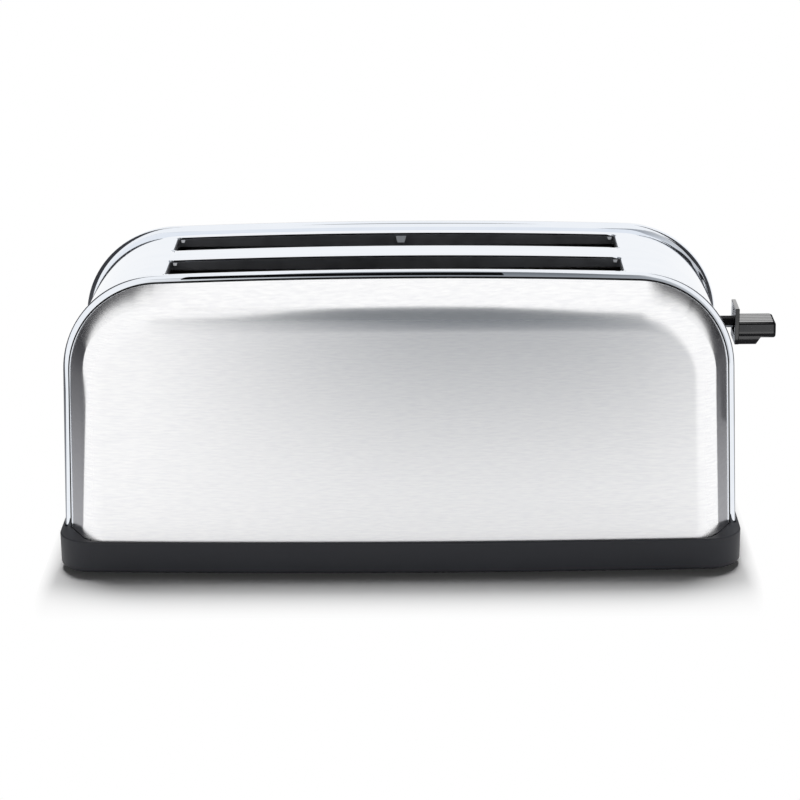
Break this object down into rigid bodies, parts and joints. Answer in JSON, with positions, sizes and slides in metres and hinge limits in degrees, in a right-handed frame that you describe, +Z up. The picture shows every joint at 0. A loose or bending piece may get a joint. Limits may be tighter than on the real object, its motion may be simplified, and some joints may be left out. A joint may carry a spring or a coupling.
{
  "type": "pop-up toaster",
  "caption": "Long-slot pop-up toaster with brushed steel panels, a polished cover over top and ends, a black base, an end lever with sprung carriage, browning dial and crumb tray.",
  "frame": {"origin": "middle of the box that holds the toaster, at the surface it stands on", "axes": "+X along the slots towards the lever end, -Y towards the front, +Z up"},
  "size_m": [0.4104, 0.1732, 0.1714],
  "materials": {
    "base_plastic": "satin moulded, charcoal black",
    "foot_rubber": "matt moulded",
    "panel_steel": "brushed lengthwise",
    "cover_chrome": "polished",
    "chassis_steel": "galvanised sheet",
    "mica": "pressed mica sheet",
    "resistance_ribbon": "rolled resistance alloy",
    "guard_wire": "plated wire",
    "magnet_steel": "zinc plated",
    "white_plastic": "moulded, heat resistant",
    "ground_steel": "ground",
    "lever_plastic": "glossy moulded black",
    "spring_steel": "drawn wire",
    "coil_winding": "enamelled copper winding",
    "board_laminate": "lacquered laminate",
    "component_plastic": "moulded black",
    "dial_plastic": "satin moulded black",
    "contact_brass": "stamped",
    "tray_steel": "plain rolled sheet",
    "gland_plastic": "moulded black",
    "screw_steel": "zinc plated"
  },
  "bodies": {
    "housing": {"base": "base_plastic", "rubber_feet": "foot_rubber", "front_panel": "panel_steel", "rear_panel": "panel_steel", "top_cover": "cover_chrome", "left_chassis_plate": "chassis_steel", "right_chassis_plate": "chassis_steel", "front_heat_shield": "chassis_steel", "rear_heat_shield": "chassis_steel", "front_mica_card": "mica", "centre_mica_card": "mica", "rear_mica_card": "mica", "front_heating_ribbon": "resistance_ribbon", "centre_heating_ribbons": "resistance_ribbon", "rear_heating_ribbon": "resistance_ribbon", "guide_rod": "ground_steel", "guide_rod_clips": "chassis_steel", "return_spring": "spring_steel", "magnet_core": "magnet_steel", "magnet_coil": "coil_winding", "control_board": "board_laminate", "board_posts": "white_plastic", "browning_control": "component_plastic", "button_switches": "component_plastic", "contact_block": "white_plastic", "contact_blades": "contact_brass", "cord_gland": "gland_plastic", "terminal_block": "white_plastic", "chassis_screws": "screw_steel"},
    "carriage": {"front_lift_rail": "chassis_steel", "rear_lift_rail": "chassis_steel", "carriage_bracket": "chassis_steel", "armature_plate": "magnet_steel", "slider_bush": "white_plastic", "lever_arm": "chassis_steel", "lever_handle": "lever_plastic"},
    "front_outer_guard": {"front_slot_outer_guard": "guard_wire"},
    "front_inner_guard": {"front_slot_inner_guard": "guard_wire"},
    "rear_inner_guard": {"rear_slot_inner_guard": "guard_wire"},
    "rear_outer_guard": {"rear_slot_outer_guard": "guard_wire"},
    "dial": {"browning_dial": "dial_plastic"},
    "cancel": {"cancel_button": "dial_plastic"},
    "reheat": {"reheat_button": "dial_plastic"},
    "defrost": {"defrost_button": "dial_plastic"},
    "tray": {"crumb_tray": "tray_steel", "crumb_tray_pull": "base_plastic"}
  },
  "joints": [
    {"name": "lever_slide", "type": "slide", "parent": "housing", "child": "carriage", "axis": [0, 0, 1], "range_m": [-0.056, 0], "stiffness_N_per_m": 60, "springref_m": 0.06, "deforming": ["return_spring"]},
    {"name": "front_outer_guard_swing", "type": "hinge", "parent": "housing", "child": "front_outer_guard", "pos_m": [-0.0136, -0.0364, 0.036], "axis": [1, 0, 0], "range_deg": [-3.05, 0]},
    {"name": "front_inner_guard_swing", "type": "hinge", "parent": "housing", "child": "front_inner_guard", "pos_m": [-0.0136, -0.0144, 0.036], "axis": [1, 0, 0], "range_deg": [0, 3.05]},
    {"name": "rear_inner_guard_swing", "type": "hinge", "parent": "housing", "child": "rear_inner_guard", "pos_m": [-0.0136, 0.0144, 0.036], "axis": [1, 0, 0], "range_deg": [-3.05, 0]},
    {"name": "rear_outer_guard_swing", "type": "hinge", "parent": "housing", "child": "rear_outer_guard", "pos_m": [-0.0136, 0.0364, 0.036], "axis": [1, 0, 0], "range_deg": [0, 3.05]},
    {"name": "dial_turn", "type": "hinge", "parent": "housing", "child": "dial", "pos_m": [0.17985, 0, 0.041], "axis": [1, 0, 0], "range_deg": [-135, 135]},
    {"name": "cancel_press", "type": "slide", "parent": "housing", "child": "cancel", "axis": [-1, 0, 0], "range_m": [0, 0.0015], "stiffness_N_per_m": 400, "springref_m": -0.002},
    {"name": "reheat_press", "type": "slide", "parent": "housing", "child": "reheat", "axis": [-1, 0, 0], "range_m": [0, 0.0015], "stiffness_N_per_m": 400, "springref_m": -0.002},
    {"name": "defrost_press", "type": "slide", "parent": "housing", "child": "defrost", "axis": [-1, 0, 0], "range_m": [0, 0.0015], "stiffness_N_per_m": 400, "springref_m": -0.002},
    {"name": "tray_slide", "type": "slide", "parent": "housing", "child": "tray", "axis": [-1, 0, 0], "range_m": [0, 0.33]}
  ],
  "couplings": [
    {"joint": "front_outer_guard_swing", "follows": "lever_slide", "rad_per_m": 0.935},
    {"joint": "front_inner_guard_swing", "follows": "lever_slide", "rad_per_m": -0.935},
    {"joint": "rear_inner_guard_swing", "follows": "lever_slide", "rad_per_m": 0.935},
    {"joint": "rear_outer_guard_swing", "follows": "lever_slide", "rad_per_m": -0.935}
  ]
}
